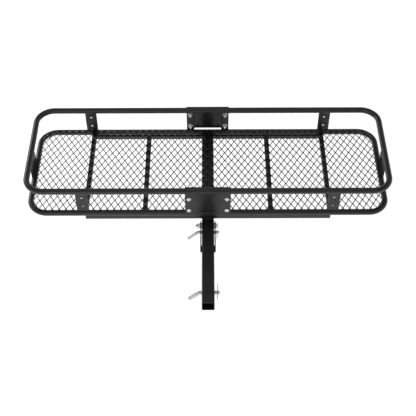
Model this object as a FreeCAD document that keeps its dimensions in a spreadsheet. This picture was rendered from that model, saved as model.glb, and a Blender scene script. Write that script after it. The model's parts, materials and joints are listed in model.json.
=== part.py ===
import FreeCAD, Part
import math
import os

import Sketcher
from FreeCAD import Placement, Rotation, Vector

# A folding hitch-mounted cargo carrier. The origin is the centre of the hitch-pin hole on the
# shank's axis. +X runs to the right along the basket, +Y runs from the vehicle to the basket,
# and +Z is up. Lengths are in millimetres.

doc = FreeCAD.newDocument("hitch_cargo_carrier")

DIMENSIONS = (
    # basket rails
    ("basket_length", 1524.0), ("basket_width", 508.0), ("basket_centre", 612.0),
    ("rail_diameter", 25.4), ("rail_wall", 2.0), ("rail_spacing", 132.5),
    ("corner_radius", 75.0), ("half_gap", 0.1),
    # floor
    ("cross_size", 20.0), ("cross_wall", 2.0), ("cross_mid", 263.0), ("cross_outer", 511.0),
    ("cross_inner_near", 0.5), ("cross_inner_size", 25.0), ("cross_corner", 2.0),
    ("cross_end_gap", 0.2),
    ("under_bar_size", 20.0), ("under_bar_half", 514.0), ("under_bar_line", 238.0),
    ("mesh_thick", 2.5), ("mesh_pitch_x", 28.8), ("mesh_pitch_y", 46.5),
    ("mesh_strand", 3.0), ("mesh_inner_edge", 3.0), ("mesh_inset", 2.5),
    # plates between the rails
    ("plate_thick", 4.0), ("centre_plate_width", 188.0), ("centre_plate_foot", 14.5),
    ("post_width", 33.0), ("bolt_x", 77.5), ("bolt_rise", 34.0), ("bolt_hole", 5.25),
    ("side_plate_width", 50.0), ("side_plate_x", 520.0), ("side_hole_rise", 25.0),
    ("side_hole", 4.25),
    ("end_angle_length", 118.0), ("end_angle_rise", 43.0), ("end_angle_foot", 18.0),
    ("end_angle_thick", 3.0), ("end_angle_out", 757.0),
    # main bar, shank and hinge
    ("tube_size", 50.8), ("tube_wall", 3.0), ("tube_corner", 4.0),
    ("bar_front", 227.0), ("bar_rear", 862.0), ("drill_overrun", 5.0), ("slot_sweep", 45.0),
    ("shank_front", 66.0), ("shank_rear", 224.0),
    ("pivot_y", 336.0), ("pivot_z", 12.7), ("lock_reach", 36.0),
    ("ear_inner", 27.8), ("ear_thick", 4.2), ("ear_front", 192.0), ("ear_round", 22.0),
    ("ear_corner", 12.0), ("ear_slant", 52.0), ("shim_thick", 2.4), ("shim_inset", 6.0),
    ("shim_front", 210.0), ("shim_low", 0.0),
    # pivot bolt
    ("bolt_radius", 6.0), ("run_clearance", 0.08), ("sleeve_radius", 9.0),
    ("washer_radius", 12.0), ("washer_thick", 2.5), ("spacer_thick", 2.2),
    ("hex_radius", 10.9), ("head_height", 7.5), ("nut_height", 10.8), ("thread_end", 6.0),
    # lock pin and hitch pin
    ("lock_pin_radius", 6.35), ("lock_pin_tip", 47.0), ("lock_pin_bend_start", 36.0),
    ("hitch_pin_radius", 7.94), ("hitch_pin_tip", 46.0), ("hitch_pin_bend_start", 30.0),
    ("pin_clearance", 0.1), ("slot_clearance", 0.3), ("handle_bend", 16.0),
    ("handle_length", 50.0),
    # spring clips
    ("lock_pin_wire", 1.5), ("lock_pin_clip_x", 38.0), ("lock_pin_leg_top", 20.0),
    ("hitch_pin_wire", 1.75), ("hitch_pin_clip_x", 37.0), ("hitch_pin_leg_top", 56.0),
    ("clip_hole_clearance", 0.4), ("clip_side_gap", 0.6), ("clip_loop", 9.0),
    ("clip_drop", 20.0), ("clip_lean", 30.0), ("clip_bow", 12.0), ("clip_flare", 15.0),
    ("clip_straight", 4.0),
    # centre plate fasteners
    ("carriage_radius", 5.0), ("carriage_head", 11.0), ("carriage_head_height", 5.0),
    ("carriage_length", 24.0), ("carriage_nut", 9.8), ("carriage_nut_height", 8.4),
)

sheet = doc.addObject("Spreadsheet::Sheet", "dims")
for row, (alias, number) in enumerate(DIMENSIONS, start=1):
    sheet.set("A%d" % row, alias)
    sheet.set("B%d" % row, str(number))
    sheet.setAlias("B%d" % row, alias)
doc.recompute()


class Size:
    """A length that carries its number and the spreadsheet expression that gives it."""

    def __init__(self, value, text):
        self.value = value
        self.text = text

    def __add__(self, other):
        other = as_size(other)
        return Size(self.value + other.value, "(%s + %s)" % (self.text, other.text))

    def __sub__(self, other):
        other = as_size(other)
        return Size(self.value - other.value, "(%s - %s)" % (self.text, other.text))

    def __mul__(self, factor):
        return Size(self.value * factor, "(%s * (%r))" % (self.text, float(factor)))

    def __truediv__(self, divisor):
        return self * (1.0 / divisor)

    def __neg__(self):
        return self * -1.0


def as_size(number):
    return number if isinstance(number, Size) else Size(float(number), "(%r)" % float(number))


def dim(alias):
    return Size(float(sheet.get(alias)), "dims.%s" % alias)


def bind(item, path, size):
    item.setExpression(path, as_size(size).text)


# ---------------------------------------------------------------- primitives

AXIS_TURN = {
    "X": Rotation(Vector(0, 1, 0), 90),
    "Y": Rotation(Vector(1, 0, 0), -90),
    "Z": Rotation(),
}


def place(item, corner, turn=Rotation()):
    item.Placement = Placement(Vector(*[as_size(c).value for c in corner]), turn)
    for letter, size in zip("xyz", corner):
        bind(item, "Placement.Base." + letter, size)


def box(label, low, high):
    item = doc.addObject("Part::Box", label)
    for side, near, far in zip(("Length", "Width", "Height"), low, high):
        bind(item, side, as_size(far) - near)
    place(item, low)
    return item


def cylinder(label, radius, length, start, axis, turn=None, angle=360):
    item = doc.addObject("Part::Cylinder", label)
    item.Angle = angle
    bind(item, "Radius", radius)
    bind(item, "Height", length)
    place(item, start, AXIS_TURN[axis] if turn is None else turn)
    return item


def prism(label, circumradius, length, start, axis):
    item = doc.addObject("Part::Prism", label)
    item.Polygon = 6
    bind(item, "Circumradius", circumradius)
    bind(item, "Height", length)
    place(item, start, AXIS_TURN[axis])
    return item


def cone(label, radius_start, radius_end, length, start, axis):
    item = doc.addObject("Part::Cone", label)
    bind(item, "Radius1", radius_start)
    bind(item, "Radius2", radius_end)
    bind(item, "Height", length)
    place(item, start, AXIS_TURN[axis])
    return item


def fuse(label, *items):
    joined = doc.addObject("Part::MultiFuse", label)
    joined.Shapes = list(items)
    return joined


def cut(label, base, *tools):
    result = doc.addObject("Part::Cut", label)
    result.Base = base
    result.Tool = tools[0] if len(tools) == 1 else fuse(label + "_cutters", *tools)
    return result


def group(label, items):
    bundle = doc.addObject("Part::Compound", label)
    bundle.Links = list(items)
    return bundle


def round_long_edges(label, solid, direction, radius):
    """Round the edges of a box that run along direction."""
    doc.recompute()
    edges = []
    for number, edge in enumerate(solid.Shape.Edges, start=1):
        if abs(edge.tangentAt(edge.FirstParameter).dot(direction)) > 0.99:
            edges.append((number, radius.value, radius.value))
    item = doc.addObject("Part::Fillet", label)
    item.Base = solid
    item.Edges = edges
    return item


def square_tube(label, low, high, axis, wall, corner, *holes):
    """A tube with rounded long edges, open at both ends along axis."""
    direction = {"X": Vector(1, 0, 0), "Y": Vector(0, 1, 0)}[axis]
    inner_low, inner_high = [], []
    for letter, near, far in zip("XYZ", low, high):
        inset = -1.0 if letter == axis else wall
        inner_low.append(as_size(near) + inset)
        inner_high.append(as_size(far) - inset)
    outer = round_long_edges(label + "_outer", box(label + "_bar", low, high), direction, corner)
    return cut(label, outer, box(label + "_inside", inner_low, inner_high), *holes)


# ---------------------------------------------------------------- sketched bodies

def origin_plane(body, role):
    return next(item for item in body.Origin.OriginFeatures if item.Role == role)


def add_sketch(body, name, role, offset):
    sketch = body.newObject("Sketcher::SketchObject", name)
    sketch.AttachmentSupport = (origin_plane(body, role), [""])
    sketch.MapMode = "FlatFace"
    sketch.AttachmentOffset = Placement(Vector(0, 0, as_size(offset).value), Rotation())
    bind(sketch, "AttachmentOffset.Base.z", offset)
    return sketch


def constrain(sketch, kind, geometry, point, size):
    size = as_size(size)
    number = sketch.addConstraint(
        Sketcher.Constraint(kind, -1, 1, geometry, point, size.value))
    sketch.setExpression("Constraints[%d]" % number, size.text)


def pin_point(sketch, geometry, point, across, up):
    constrain(sketch, "DistanceX", geometry, point, across)
    constrain(sketch, "DistanceY", geometry, point, up)


def draw_circle(sketch, across, up, radius):
    centre = Vector(as_size(across).value, as_size(up).value, 0)
    number = sketch.addGeometry(Part.Circle(centre, Vector(0, 0, 1), as_size(radius).value))
    pin_point(sketch, number, 3, across, up)
    ring = sketch.addConstraint(Sketcher.Constraint("Radius", number, as_size(radius).value))
    sketch.setExpression("Constraints[%d]" % ring, as_size(radius).text)


def draw_path(sketch, points, closed):
    """Points are (across, up) for a straight run to the next point, or (across, up,
    centre across, centre up, counter-clockwise) for an arc to the next point."""
    ends = []
    count = len(points) if closed else len(points) - 1
    for index in range(count):
        here, there = points[index], points[(index + 1) % len(points)]
        start = Vector(as_size(here[0]).value, as_size(here[1]).value, 0)
        stop = Vector(as_size(there[0]).value, as_size(there[1]).value, 0)
        if len(here) == 2:
            number = sketch.addGeometry(Part.LineSegment(start, stop))
            ends.append((number, 1, 2))
        else:
            centre = Vector(as_size(here[2]).value, as_size(here[3]).value, 0)
            first, last = (start, stop) if here[4] else (stop, start)
            circle = Part.Circle(centre, Vector(0, 0, 1), (start - centre).Length)
            arc = Part.ArcOfCircle(circle, math.atan2(first.y - centre.y, first.x - centre.x),
                                   math.atan2(last.y - centre.y, last.x - centre.x))
            number = sketch.addGeometry(arc)
            ends.append((number, 1, 2) if here[4] else (number, 2, 1))
            chord = stop - start
            if abs(chord.y) >= abs(chord.x):
                constrain(sketch, "DistanceX", number, 3, here[2])
            else:
                constrain(sketch, "DistanceY", number, 3, here[3])
    for index, (number, start_point, stop_point) in enumerate(ends):
        pin_point(sketch, number, start_point, points[index][0], points[index][1])
        if index + 1 < len(ends) or closed:
            following = ends[(index + 1) % len(ends)]
            sketch.addConstraint(Sketcher.Constraint(
                "Coincident", number, stop_point, following[0], following[1]))
        else:
            pin_point(sketch, number, stop_point, points[-1][0], points[-1][1])
    return len(ends)


def new_body(label):
    return doc.addObject("PartDesign::Body", label)


def pad_plate(label, role, offset, thickness, outline, holes=()):
    """A flat plate cut to an outline, with round holes."""
    body = new_body(label)
    sketch = add_sketch(body, label + "_outline", role, offset)
    draw_path(sketch, outline, closed=True)
    for across, up, radius in holes:
        draw_circle(sketch, across, up, radius)
    pad = body.newObject("PartDesign::Pad", label + "_pad")
    pad.Profile = sketch
    bind(pad, "Length", thickness)
    return body


def pipe(label, path_role, path_offset, points, profile_role, profile_offset, centre, radii):
    """A round bar or tube bent along a path of straight runs and arcs."""
    body = new_body(label)
    path = add_sketch(body, label + "_path", path_role, path_offset)
    edges = draw_path(path, points, closed=False)
    profile = add_sketch(body, label + "_profile", profile_role, profile_offset)
    for radius in radii:
        draw_circle(profile, centre[0], centre[1], radius)
    sweep = body.newObject("PartDesign::AdditivePipe", label + "_sweep")
    sweep.Profile = profile
    sweep.Spine = (path, ["Edge%d" % (number + 1) for number in range(edges)])
    return body


nodes = {}


def keep(item):
    nodes[item.Label] = item
    return item


# ---------------------------------------------------------------- shared levels

rail_radius = dim("rail_diameter") / 2
half_tube = dim("tube_size") / 2
under_bar_top = half_tube + dim("under_bar_size")
lower_level = under_bar_top + rail_radius
upper_level = lower_level + dim("rail_spacing")
middle_level = (lower_level + upper_level) / 2
floor_level = lower_level + rail_radius
rail_x = dim("basket_length") / 2 - rail_radius
rail_y = dim("basket_width") / 2 - rail_radius
basket_y = dim("basket_centre")
plate = dim("plate_thick")
SIDES = (("left", -1), ("right", 1))
ENDS = (("front", -1), ("rear", 1))


# ---------------------------------------------------------------- basket rails

def build_rail(label, side, level):
    """One half of a rail hoop: two long runs and the end run, with two bends."""
    gap, reach, radius = dim("half_gap") * side, rail_x * side, dim("corner_radius")
    straight_end = reach - radius * side
    front, rear = basket_y - rail_y, basket_y + rail_y
    turn_left = side > 0
    points = [
        (gap, front),
        (straight_end, front, straight_end, front + radius, turn_left),
        (reach, front + radius),
        (reach, rear - radius, straight_end, rear - radius, turn_left),
        (straight_end, rear),
        (gap, rear),
    ]
    keep(pipe(label, "XY_Plane", level, points, "YZ_Plane", gap, (front, level),
              (rail_radius, rail_radius - dim("rail_wall"))))


for side_name, side in SIDES:
    build_rail("upper_rail_" + side_name, side, upper_level)
    build_rail("lower_rail_" + side_name, side, lower_level)


# ---------------------------------------------------------------- floor frame

def build_cross_member(label, low_x, high_x):
    """A square tube between the front and rear lower rails, level with their tops."""
    reach = rail_y - rail_radius - dim("cross_end_gap")
    low = (low_x, basket_y - reach, floor_level - dim("cross_size"))
    high = (high_x, basket_y + reach, floor_level)
    keep(square_tube(label, low, high, "Y", dim("cross_wall"), dim("cross_corner")))


def build_under_bar(label, end):
    """A square tube along X under a lower rail, resting on the main bar."""
    line = basket_y + dim("under_bar_line") * end
    half = dim("under_bar_size") / 2
    low = (-dim("under_bar_half"), line - half, half_tube)
    high = (dim("under_bar_half"), line + half, under_bar_top)
    keep(square_tube(label, low, high, "X", dim("cross_wall"), dim("cross_corner")))


half_cross = dim("cross_size") / 2
for side_name, side in SIDES:
    for place_name, centre_x in (("mid", dim("cross_mid")), ("outer", dim("cross_outer"))):
        centre = centre_x * side
        build_cross_member("cross_member_%s_%s" % (place_name, side_name),
                           centre - half_cross, centre + half_cross)
    near = dim("cross_inner_near") * side
    far = near + dim("cross_inner_size") * side
    ordered = (near, far) if side > 0 else (far, near)
    build_cross_member("cross_member_inner_" + side_name, *ordered)
for end_name, end in ENDS:
    build_under_bar("under_bar_" + end_name, end)


def build_mesh_floor(label, side):
    """A flat sheet of diamond openings with a rounded outer corner at each end."""
    inset = dim("mesh_inset")
    reach, half_width = (rail_x - inset).value, (rail_y - inset).value
    inner, radius = dim("mesh_inner_edge").value, (dim("corner_radius") - inset).value
    pitch_x, pitch_y = dim("mesh_pitch_x").value, dim("mesh_pitch_y").value
    strand, level = dim("mesh_strand").value, floor_level.value
    centre_y = basket_y.value
    diagonal = radius * math.sqrt(0.5)

    def point(across, along):
        return Vector(side * across, centre_y + along, level)

    def corner(sign):
        bend_x, bend_y = reach - radius, sign * (half_width - radius)
        middle = point(bend_x + diagonal, bend_y + sign * diagonal)
        return point(bend_x, sign * half_width), middle, point(reach, bend_y)

    front_start, front_middle, front_end = corner(-1)
    rear_start, rear_middle, rear_end = corner(1)
    outline = Part.Wire([
        Part.makeLine(point(inner, -half_width), front_start),
        Part.Arc(front_start, front_middle, front_end).toShape(),
        Part.makeLine(front_end, rear_end),
        Part.Arc(rear_end, rear_middle, rear_start).toShape(),
        Part.makeLine(rear_start, point(inner, half_width)),
        Part.makeLine(point(inner, half_width), point(inner, -half_width)),
    ])

    def inside(across, along):
        if not (inner + strand < across < reach - strand and abs(along) < half_width - strand):
            return False
        over_x, over_y = across - (reach - radius), abs(along) - (half_width - radius)
        return over_x < 0 or over_y < 0 or math.hypot(over_x, over_y) < radius - strand

    half_x, half_y = pitch_x / 2 - strand * 0.6, pitch_y / 2 - strand
    openings = []
    columns, rows = int(2 * reach / pitch_x) + 2, int(half_width / pitch_y) * 2 + 4
    for column in range(columns):
        for line in range(-rows, rows):
            if (column + line) % 2:
                continue
            across, along = inner + column * pitch_x / 2, line * pitch_y / 2
            tips = [(across - half_x, along), (across, along - half_y),
                    (across + half_x, along), (across, along + half_y)]
            if all(inside(*tip) for tip in tips):
                corners = [point(*tip) for tip in tips]
                openings.append(Part.makePolygon(corners + corners[:1]))
    faces = Part.Face(outline)
    holes = [Part.Face(opening) for opening in openings]
    sheet_face = faces.cut(Part.makeCompound(holes))
    item = doc.addObject("Part::Feature", label)
    item.Shape = sheet_face.extrude(Vector(0, 0, dim("mesh_thick").value)).Solids[0]
    keep(item)


for side_name, side in SIDES:
    build_mesh_floor("mesh_floor_" + side_name, side)


# ---------------------------------------------------------------- plates between the rails

def rectangle(low_u, low_v, high_u, high_v):
    return [(low_u, low_v), (high_u, low_v), (high_u, high_v), (low_u, high_v)]


def upright(label, centre_x, width, near_y, far_y, low_z, high_z, holes):
    """A flat upright plate that faces front and rear."""
    outline = rectangle(centre_x - width / 2, low_z, centre_x + width / 2, high_z)
    keep(pad_plate(label, "XZ_Plane", -far_y, far_y - near_y, outline, holes))


def outward_band(end, inner, thickness):
    """The two Y planes of a plate whose inner face is a distance from the basket's middle."""
    near, far = basket_y + inner * end, basket_y + (inner + thickness) * end
    return (near, far) if end > 0 else (far, near)


def bolt_places():
    return [(dim("bolt_x") * side, middle_level + dim("bolt_rise") * rise)
            for side in (-1, 1) for rise in (-1, 1)]


def build_centre_plate(label, end):
    """A plate that hooks over the upper rail and covers the posts' outer faces."""
    near, far = outward_band(end, rail_y + rail_radius, plate)
    half = dim("centre_plate_width") / 2
    bottom = lower_level + dim("centre_plate_foot")
    rail_line = basket_y + rail_y * end
    reach = rail_radius + plate * 2
    flat = box(label + "_flat", (-half, near, bottom), (half, far, upper_level))
    outer = cylinder(label + "_hook_outer", rail_radius + plate, half * 2,
                     (-half, rail_line, upper_level), "X")
    inner = cylinder(label + "_hook_inner", rail_radius, half * 2,
                     (-half, rail_line, upper_level), "X")
    upper_half = box(label + "_hook_room", (-half, rail_line - reach, upper_level),
                     (half, rail_line + reach, upper_level + reach))
    hook = doc.addObject("Part::Common", label + "_hook")
    hook.Base, hook.Tool = cut(label + "_hook_ring", outer, inner), upper_half
    drills = [cylinder("%s_drill_%d" % (label, number), dim("bolt_hole"), plate * 5,
                       (x, near - plate * 2, z), "Y")
              for number, (x, z) in enumerate(bolt_places())]
    keep(cut(label, fuse(label + "_blank", flat, hook), *drills))


def build_post(label, side, end):
    """A short flat post welded to the outer sides of both rails, behind the centre plate."""
    near, far = outward_band(end, rail_y + rail_radius - plate, plate)
    weld = math.sqrt(rail_radius.value ** 2 - (rail_radius.value - plate.value) ** 2)
    holes = [(x, z, dim("bolt_hole")) for x, z in bolt_places() if x.value * side > 0]
    upright(label, dim("bolt_x") * side, dim("post_width"), near, far,
            lower_level + weld, upper_level - weld, holes)


def build_side_plate(label, side, end):
    """A flat upright plate on the rails' centre plane, with two open holes."""
    near, far = outward_band(end, rail_y - plate / 2, plate)
    centre = dim("side_plate_x") * side
    holes = [(centre, middle_level + dim("side_hole_rise") * rise, dim("side_hole"))
             for rise in (-1, 1)]
    upright(label, centre, dim("side_plate_width"), near, far,
            lower_level + rail_radius, upper_level - rail_radius, holes)


def build_end_angle(label, side):
    """An angle strip that stands on the edge of the floor, over the lower end rail."""
    thick, half = dim("end_angle_thick"), dim("end_angle_length") / 2
    base = floor_level + dim("mesh_thick")
    outer = dim("end_angle_out") * side
    wall = (outer - thick * side, outer)
    foot = (outer - (dim("end_angle_foot") + thick) * side, outer - thick * side)
    parts = []
    for name, span, top in (("wall", wall, base + dim("end_angle_rise")),
                            ("foot", foot, base + thick)):
        low, high = span if side > 0 else span[::-1]
        parts.append(box("%s_%s" % (label, name), (low, basket_y - half, base),
                         (high, basket_y + half, top)))
    keep(fuse(label, *parts))


for end_name, end in ENDS:
    build_centre_plate("centre_plate_" + end_name, end)
    for side_name, side in SIDES:
        build_post("post_%s_%s" % (end_name, side_name), side, end)
        build_side_plate("side_plate_%s_%s" % (end_name, side_name), side, end)
for side_name, side in SIDES:
    build_end_angle("end_angle_" + side_name, side)


# ---------------------------------------------------------------- centre plate fasteners

def build_plate_fasteners(end_name, end):
    """Dome-headed bolts through a centre plate and its posts, with nuts inside the basket."""
    bolts, nuts = [], []
    outer_face = basket_y + (rail_y + rail_radius + plate) * end
    inner_face = basket_y + (rail_y + rail_radius - plate) * end
    inward = Rotation(Vector(1, 0, 0), 90 * end)
    outward = Rotation(Vector(1, 0, 0), -90 * end)
    for number, (x, z) in enumerate(bolt_places()):
        name = "%s_%d" % (end_name, number)
        shank = cylinder("carriage_shank_" + name, dim("carriage_radius"),
                         dim("carriage_length"), (x, outer_face, z), None, inward)
        head = cone("carriage_head_" + name, dim("carriage_head"), dim("carriage_radius"),
                    dim("carriage_head_height"), (x, outer_face, z), "Z")
        place(head, (x, outer_face, z), outward)
        bolts.append(fuse("carriage_bolt_" + name, shank, head))
        blank = prism("carriage_nut_blank_" + name, dim("carriage_nut"),
                      dim("carriage_nut_height"), (x, inner_face, z), "Z")
        place(blank, (x, inner_face, z), inward)
        bore = cylinder("carriage_nut_bore_" + name, dim("carriage_radius"),
                        dim("carriage_nut_height"), (x, inner_face, z), None, inward)
        nuts.append(cut("carriage_nut_" + name, blank, bore))
    keep(group("plate_bolts_" + end_name, bolts))
    keep(group("plate_nuts_" + end_name, nuts))


for end_name, end in ENDS:
    build_plate_fasteners(end_name, end)


# ---------------------------------------------------------------- main bar, shank and hinge

pivot_y, pivot_z = dim("pivot_y"), dim("pivot_z")
lock_y = pivot_y - dim("lock_reach")
ear_inner = dim("ear_inner")
ear_outer = ear_inner + dim("ear_thick")
drill_start = -half_tube - dim("drill_overrun")
drill_length = dim("tube_size") + dim("drill_overrun") * 2


def build_main_bar():
    """The bar under the basket. The pivot sleeve crosses it, and an arc open at its top lets
    its front end drop away from the lock pin."""
    start = (half_tube + dim("drill_overrun"), pivot_y, pivot_z)
    sweep = sheet.get("slot_sweep")
    half_slot = dim("lock_pin_radius") + dim("slot_clearance")
    # the sector's first edge points to the lock pin, and the sector opens upwards from it
    turn = Rotation(Vector(0, -1, 0), Vector(0, 0, 1), Vector(-1, 0, 0), "ZXY")
    outer = cylinder("slot_outer", dim("lock_reach") + half_slot, drill_length, start, None,
                     turn, angle=sweep)
    inner = cylinder("slot_inner", dim("lock_reach") - half_slot, drill_length, start, None,
                     turn, angle=sweep)
    seat = cylinder("slot_seat", half_slot, drill_length, (drill_start, lock_y, pivot_z), "X")
    bore = cylinder("bar_sleeve_bore", dim("sleeve_radius"), drill_length,
                    (drill_start, pivot_y, pivot_z), "X")
    keep(square_tube("main_bar", (-half_tube, dim("bar_front"), -half_tube),
                     (half_tube, dim("bar_rear"), half_tube), "Y", dim("tube_wall"),
                     dim("tube_corner"), cut("slot_arc", outer, inner), seat, bore))


def build_shank():
    """The square shank that slides into a receiver, cross-drilled for the hitch pin."""
    bore = cylinder("hitch_pin_bore", dim("hitch_pin_radius") + dim("pin_clearance"),
                    drill_length, (drill_start, 0, 0), "X")
    keep(square_tube("shank_tube", (-half_tube, -dim("shank_front"), -half_tube),
                     (half_tube, dim("shank_rear"), half_tube), "Y", dim("tube_wall"),
                     dim("tube_corner"), bore))


def build_hinge_plate(label, side):
    """A side plate of the hinge: pivot hole, lock hole and a hole that holds the bar folded."""
    corner, slant, top = dim("ear_corner"), dim("ear_slant"), half_tube
    front, rear = dim("ear_front"), pivot_y + dim("ear_round")
    bottom = pivot_z - dim("lock_reach") - dim("lock_pin_radius") * 2
    outline = [
        (front + slant, bottom),
        (rear - corner, bottom, rear - corner, bottom + corner, True),
        (rear, bottom + corner),
        (rear, top - corner, rear - corner, top - corner, True),
        (rear - corner, top),
        (front, top),
        (front, bottom + slant),
    ]
    pin_hole = dim("lock_pin_radius") + dim("pin_clearance")
    holes = [
        (pivot_y, pivot_z, dim("bolt_radius") + dim("run_clearance")),
        (lock_y, pivot_z, pin_hole),
        (pivot_y, pivot_z - dim("lock_reach"), pin_hole),
    ]
    offset = ear_inner if side > 0 else -ear_outer
    keep(pad_plate(label, "YZ_Plane", offset, dim("ear_thick"), outline, holes))


def build_shims():
    """Two packing pieces between the shank's sides and the hinge plates, behind the plates'
    slanted front edges."""
    edge = half_tube - dim("shim_inset")
    strips = []
    for side_name, side in SIDES:
        low_x = half_tube if side > 0 else -ear_inner
        strips.append(box("shim_" + side_name, (low_x, dim("shim_front"), dim("shim_low")),
                          (low_x + dim("shim_thick"), dim("shank_rear"), edge)))
    keep(group("hinge_shims", strips))


def ring(label, outer, inner, length, start_x):
    """A washer or sleeve on the pivot's axis."""
    start = (start_x, pivot_y, pivot_z)
    return cut(label, cylinder(label + "_rim", outer, length, start, "X"),
               cylinder(label + "_bore", inner, length, start, "X"))


def build_pivot():
    """The pivot bolt with its washers, spacers, nut and the sleeve welded through the bar."""
    shaft, washer = dim("bolt_radius"), dim("washer_thick")
    snug = shaft + dim("run_clearance")
    head_face = ear_outer + washer
    nut_start = -ear_outer - washer - dim("nut_height")
    stem_start = nut_start - dim("thread_end")
    stem = cylinder("pivot_stem", shaft, head_face - stem_start,
                    (stem_start, pivot_y, pivot_z), "X")
    head = prism("pivot_head", dim("hex_radius"), dim("head_height"),
                 (head_face, pivot_y, pivot_z), "X")
    keep(fuse("pivot_bolt", stem, head))
    blank = prism("pivot_nut_blank", dim("hex_radius"), dim("nut_height"),
                  (nut_start, pivot_y, pivot_z), "X")
    bore = cylinder("pivot_nut_bore", shaft, dim("nut_height"),
                    (nut_start, pivot_y, pivot_z), "X")
    keep(cut("pivot_nut", blank, bore))
    keep(group("pivot_washers", [
        ring("pivot_washer_right", dim("washer_radius"), snug, washer, ear_outer),
        ring("pivot_washer_left", dim("washer_radius"), snug, washer, -ear_outer - washer)]))
    spacer = dim("spacer_thick")
    keep(group("pivot_spacers", [
        ring("pivot_spacer_right", dim("washer_radius"), snug, spacer, ear_inner - spacer),
        ring("pivot_spacer_left", dim("washer_radius"), snug, spacer, -ear_inner)]))
    keep(ring("pivot_sleeve", dim("sleeve_radius"), snug, dim("tube_size"), -half_tube))


build_main_bar()
build_shank()
for side_name, side in SIDES:
    build_hinge_plate("hinge_plate_" + side_name, side)
build_shims()
build_pivot()


# ---------------------------------------------------------------- pins and clips

def build_pin(label, axis_y, axis_z):
    """A bent pin. Its end is slotted so that it can be drawn past the clip's straight leg."""
    radius, tip = dim(label + "_radius"), dim(label + "_tip")
    clip_x, start = dim(label + "_clip_x"), -dim(label + "_bend_start")
    half_slot = dim(label + "_wire") + dim("clip_hole_clearance")
    bend, length = dim("handle_bend"), dim("handle_length")
    slope = math.sqrt(0.5)
    bend_x, bend_z = start - bend * slope, axis_z - bend * (1 - slope)
    points = [
        (tip, axis_z),
        (start, axis_z, start, axis_z - bend, True),
        (bend_x, bend_z),
        (bend_x - length * slope, bend_z - length * slope),
    ]
    rod = pipe(label + "_rod", "XZ_Plane", -axis_y, points, "YZ_Plane", tip,
               (axis_y, axis_z), (radius,))
    hole = cylinder(label + "_clip_hole", half_slot, radius * 4,
                    (clip_x, axis_y, axis_z - radius * 2), "Z")
    mouth = box(label + "_clip_mouth", (clip_x, axis_y - half_slot, axis_z - radius * 2),
                (tip + radius, axis_y + half_slot, axis_z + radius * 2))
    keep(cut(label, rod, hole, mouth))


def build_clip(label, pin, axis_y, axis_z):
    """A spring clip: a straight leg through the pin, a loop below it, and a bowed leg that
    lies against the pin's side."""
    wire, clip_x = dim(pin + "_wire"), dim(pin + "_clip_x")
    clear = dim(pin + "_radius") + wire + dim("clip_side_gap")
    loop, drop, leg_top = dim("clip_loop"), dim("clip_drop"), dim(pin + "_leg_top")
    bow, flare, straight_top = dim("clip_bow"), dim("clip_flare"), dim("clip_straight")
    lean = math.radians(sheet.get("clip_lean"))
    rise, shift = math.sin(lean), math.cos(lean)
    loop_end = (loop * (1 + shift), loop * rise - drop)
    run = (loop_end[0] - clear - bow * (1 - shift)) / rise
    bow_start = (loop_end[0] - run * rise, loop_end[1] + run * shift)
    bow_rise = bow_start[1] + bow * rise
    flare_end = (clear + flare * (1 - shift), straight_top + flare * rise)

    def at(across, up):
        return (axis_y - across, axis_z + up)

    points = [
        at(0, leg_top),
        at(0, -drop) + at(loop, -drop) + (False,),
        at(*loop_end),
        at(*bow_start) + at(clear + bow, bow_rise) + (True,),
        at(clear, bow_rise),
        at(clear, straight_top) + at(clear + flare, straight_top) + (True,),
        at(*flare_end),
    ]
    keep(pipe(label, "YZ_Plane", clip_x, points, "XY_Plane", axis_z + leg_top,
              (clip_x, axis_y), (wire,)))


hitch_axis = (as_size(0), as_size(0))
build_pin("hitch_pin", *hitch_axis)
build_clip("hitch_clip", "hitch_pin", *hitch_axis)
build_pin("lock_pin", lock_y, pivot_z)
build_clip("lock_clip", "lock_pin", lock_y, pivot_z)


# ---------------------------------------------------------------- check and write

doc.recompute()
faults = [item.Label for item in doc.Objects
          if "Invalid" in item.State or "Error" in item.State]
faults += [label for label, item in nodes.items()
           if item.Shape.isNull() or not item.Shape.isValid() or not item.Shape.Solids]
if faults:
    raise RuntimeError("not built: " + ", ".join(sorted(set(faults))))

os.makedirs("parts", exist_ok=True)
for label, item in nodes.items():
    item.Shape.exportStep("parts/%s.step" % label)
    print("%-28s %2d solids %12.0f mm3" % (label, len(item.Shape.Solids), item.Shape.Volume))
print(len(nodes), "nodes")
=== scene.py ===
import json
import math
import random

import bmesh
import bpy
from mathutils import Matrix, Vector


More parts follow.
